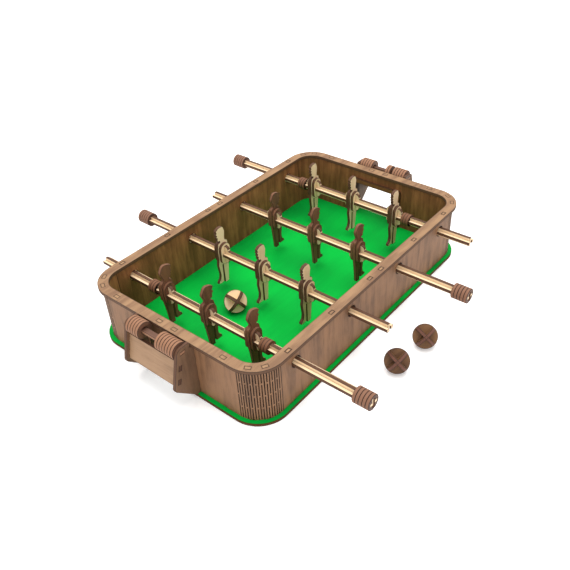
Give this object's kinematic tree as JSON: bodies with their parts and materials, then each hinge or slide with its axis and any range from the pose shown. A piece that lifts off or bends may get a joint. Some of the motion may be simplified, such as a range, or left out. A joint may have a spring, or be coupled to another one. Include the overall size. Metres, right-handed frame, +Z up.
{
  "type": "tabletop football game",
  "caption": "Small plywood tabletop football game with sliding and turning player rods, bent corners, goals, counters and loose balls.",
  "frame": {"origin": "middle of the underside of the base plate, on the surface the game stands on", "axes": "+X along the long side from goal to goal, +Y along the rods, +Z up"},
  "size_m": [0.3638, 0.342, 0.0726],
  "materials": {
    "painted_base": "plywood with a matt green painted top and burnt edges",
    "rim_ply": "light brown stained plywood, matt",
    "outer_ply": "brown stained plywood with upright grain, matt",
    "inner_ply": "dark brown stained plywood, matt",
    "stained_ply": "reddish brown stained plywood, matt",
    "natural_ply": "bare birch plywood with burnt edges, matt"
  },
  "bodies": {
    "table": {"base_plate": "painted_base", "top_rim": "rim_ply", "end_skin_left": "outer_ply", "end_skin_right": "outer_ply", "end_liner_left": "inner_ply", "end_liner_right": "inner_ply", "goal_frame_left": "inner_ply", "goal_frame_right": "inner_ply", "front_panel_left": "outer_ply", "front_panel_right": "outer_ply", "score_rod_left": "stained_ply", "score_rod_right": "stained_ply", "side_skin_near": "outer_ply", "side_skin_far": "outer_ply", "side_liner_near": "inner_ply", "side_liner_far": "inner_ply", "bracket_left_near": "outer_ply", "bracket_left_far": "outer_ply", "bracket_right_near": "outer_ply", "bracket_right_far": "outer_ply"},
    "rod_1_turn": {"rod_1_bushes": "natural_ply"},
    "rod_1": {"rod_1_spine": "natural_ply", "rod_1_rails": "natural_ply", "rod_1_grip": "stained_ply", "rod_1_player_near": "stained_ply", "rod_1_player_middle": "stained_ply", "rod_1_player_far": "stained_ply", "rod_1_collars": "stained_ply"},
    "rod_2_turn": {"rod_2_bushes": "natural_ply"},
    "rod_2": {"rod_2_spine": "natural_ply", "rod_2_rails": "natural_ply", "rod_2_grip": "stained_ply", "rod_2_player_near": "natural_ply", "rod_2_player_middle": "natural_ply", "rod_2_player_far": "natural_ply"},
    "rod_3_turn": {"rod_3_bushes": "natural_ply"},
    "rod_3": {"rod_3_spine": "natural_ply", "rod_3_rails": "natural_ply", "rod_3_grip": "stained_ply", "rod_3_player_near": "stained_ply", "rod_3_player_middle": "stained_ply", "rod_3_player_far": "stained_ply"},
    "rod_4_turn": {"rod_4_bushes": "natural_ply"},
    "rod_4": {"rod_4_spine": "natural_ply", "rod_4_rails": "natural_ply", "rod_4_grip": "stained_ply", "rod_4_player_near": "natural_ply", "rod_4_player_middle": "natural_ply", "rod_4_player_far": "natural_ply", "rod_4_collars": "stained_ply"},
    "counters_left_near": {"counters_left_near": "stained_ply"},
    "counters_left_far": {"counters_left_far": "stained_ply"},
    "counters_right_near": {"counters_right_near": "stained_ply"},
    "counters_right_middle": {"counters_right_middle": "stained_ply"},
    "counters_right_far": {"counters_right_far": "stained_ply"},
    "ball_field": {"ball_field": "natural_ply"},
    "ball_spare_left": {"ball_spare_left": "stained_ply"},
    "ball_spare_right": {"ball_spare_right": "stained_ply"}
  },
  "joints": [
    {"name": "rod_1_spin", "type": "hinge", "parent": "table", "child": "rod_1_turn", "pos_m": [-0.11342, 0, 0.0428], "axis": [0, 1, 0], "continuous": true},
    {"name": "rod_1_slide", "type": "slide", "parent": "rod_1_turn", "child": "rod_1", "axis": [0, 1, 0], "range_m": [-0.0192, 0.0252]},
    {"name": "rod_2_spin", "type": "hinge", "parent": "table", "child": "rod_2_turn", "pos_m": [-0.0378, 0, 0.0428], "axis": [0, 1, 0], "continuous": true},
    {"name": "rod_2_slide", "type": "slide", "parent": "rod_2_turn", "child": "rod_2", "axis": [0, 1, 0], "range_m": [-0.0325, 0.0325]},
    {"name": "rod_3_spin", "type": "hinge", "parent": "table", "child": "rod_3_turn", "pos_m": [0.0378, 0, 0.0428], "axis": [0, 1, 0], "continuous": true},
    {"name": "rod_3_slide", "type": "slide", "parent": "rod_3_turn", "child": "rod_3", "axis": [0, 1, 0], "range_m": [-0.0305, 0.0345]},
    {"name": "rod_4_spin", "type": "hinge", "parent": "table", "child": "rod_4_turn", "pos_m": [0.11342, 0, 0.0428], "axis": [0, 1, 0], "continuous": true},
    {"name": "rod_4_slide", "type": "slide", "parent": "rod_4_turn", "child": "rod_4", "axis": [0, 1, 0], "range_m": [-0.0262, 0.0182]},
    {"name": "counters_left_near_slide", "type": "slide", "parent": "table", "child": "counters_left_near", "axis": [0, 1, 0], "range_m": [0, 0.0098]},
    {"name": "counters_left_far_slide", "type": "slide", "parent": "table", "child": "counters_left_far", "axis": [0, 1, 0], "range_m": [-0.0098, 0]},
    {"name": "counters_right_near_slide", "type": "slide", "parent": "table", "child": "counters_right_near", "axis": [0, 1, 0], "range_m": [0, 0.0014]},
    {"name": "counters_right_middle_slide", "type": "slide", "parent": "table", "child": "counters_right_middle", "axis": [0, 1, 0], "range_m": [-0.0014, 0.0084]},
    {"name": "counters_right_far_slide", "type": "slide", "parent": "table", "child": "counters_right_far", "axis": [0, 1, 0], "range_m": [-0.0084, 0]},
    {"name": "ball_field_lift", "type": "slide", "parent": "table", "child": "ball_field", "axis": [0, 0, 1], "range_m": [0, 0.09]},
    {"name": "ball_spare_left_roll", "type": "slide", "parent": "table", "child": "ball_spare_left", "axis": [0, -1, 0], "range_m": [0, 0.08]},
    {"name": "ball_spare_right_roll", "type": "slide", "parent": "table", "child": "ball_spare_right", "axis": [0, -1, 0], "range_m": [0, 0.08]}
  ]
}
